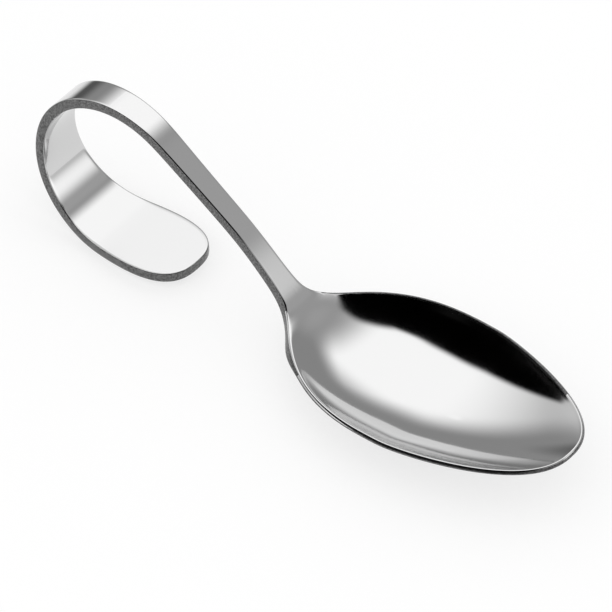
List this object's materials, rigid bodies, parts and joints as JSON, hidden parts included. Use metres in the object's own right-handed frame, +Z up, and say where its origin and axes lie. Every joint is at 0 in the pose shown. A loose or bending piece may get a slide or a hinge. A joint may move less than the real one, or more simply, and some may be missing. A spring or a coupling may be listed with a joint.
{
  "type": "curved handle spoon",
  "caption": "Small one-piece polished steel tasting spoon: deep egg-shaped bowl, slim neck, and a strip handle rolled into an open finger loop that ends in a broad rounded tongue.",
  "frame": {"origin": "on the surface the spoon stands on, under the middle of its length and width", "axes": "+X from the finger loop to the tip of the bowl, +Y across the spoon, +Z up"},
  "size_m": [0.1202, 0.0356, 0.034],
  "materials": {
    "polished_steel": "stainless steel with a bright, slightly soft polish"
  },
  "bodies": {
    "root": {"spoon": "polished_steel"}
  },
  "joints": []
}
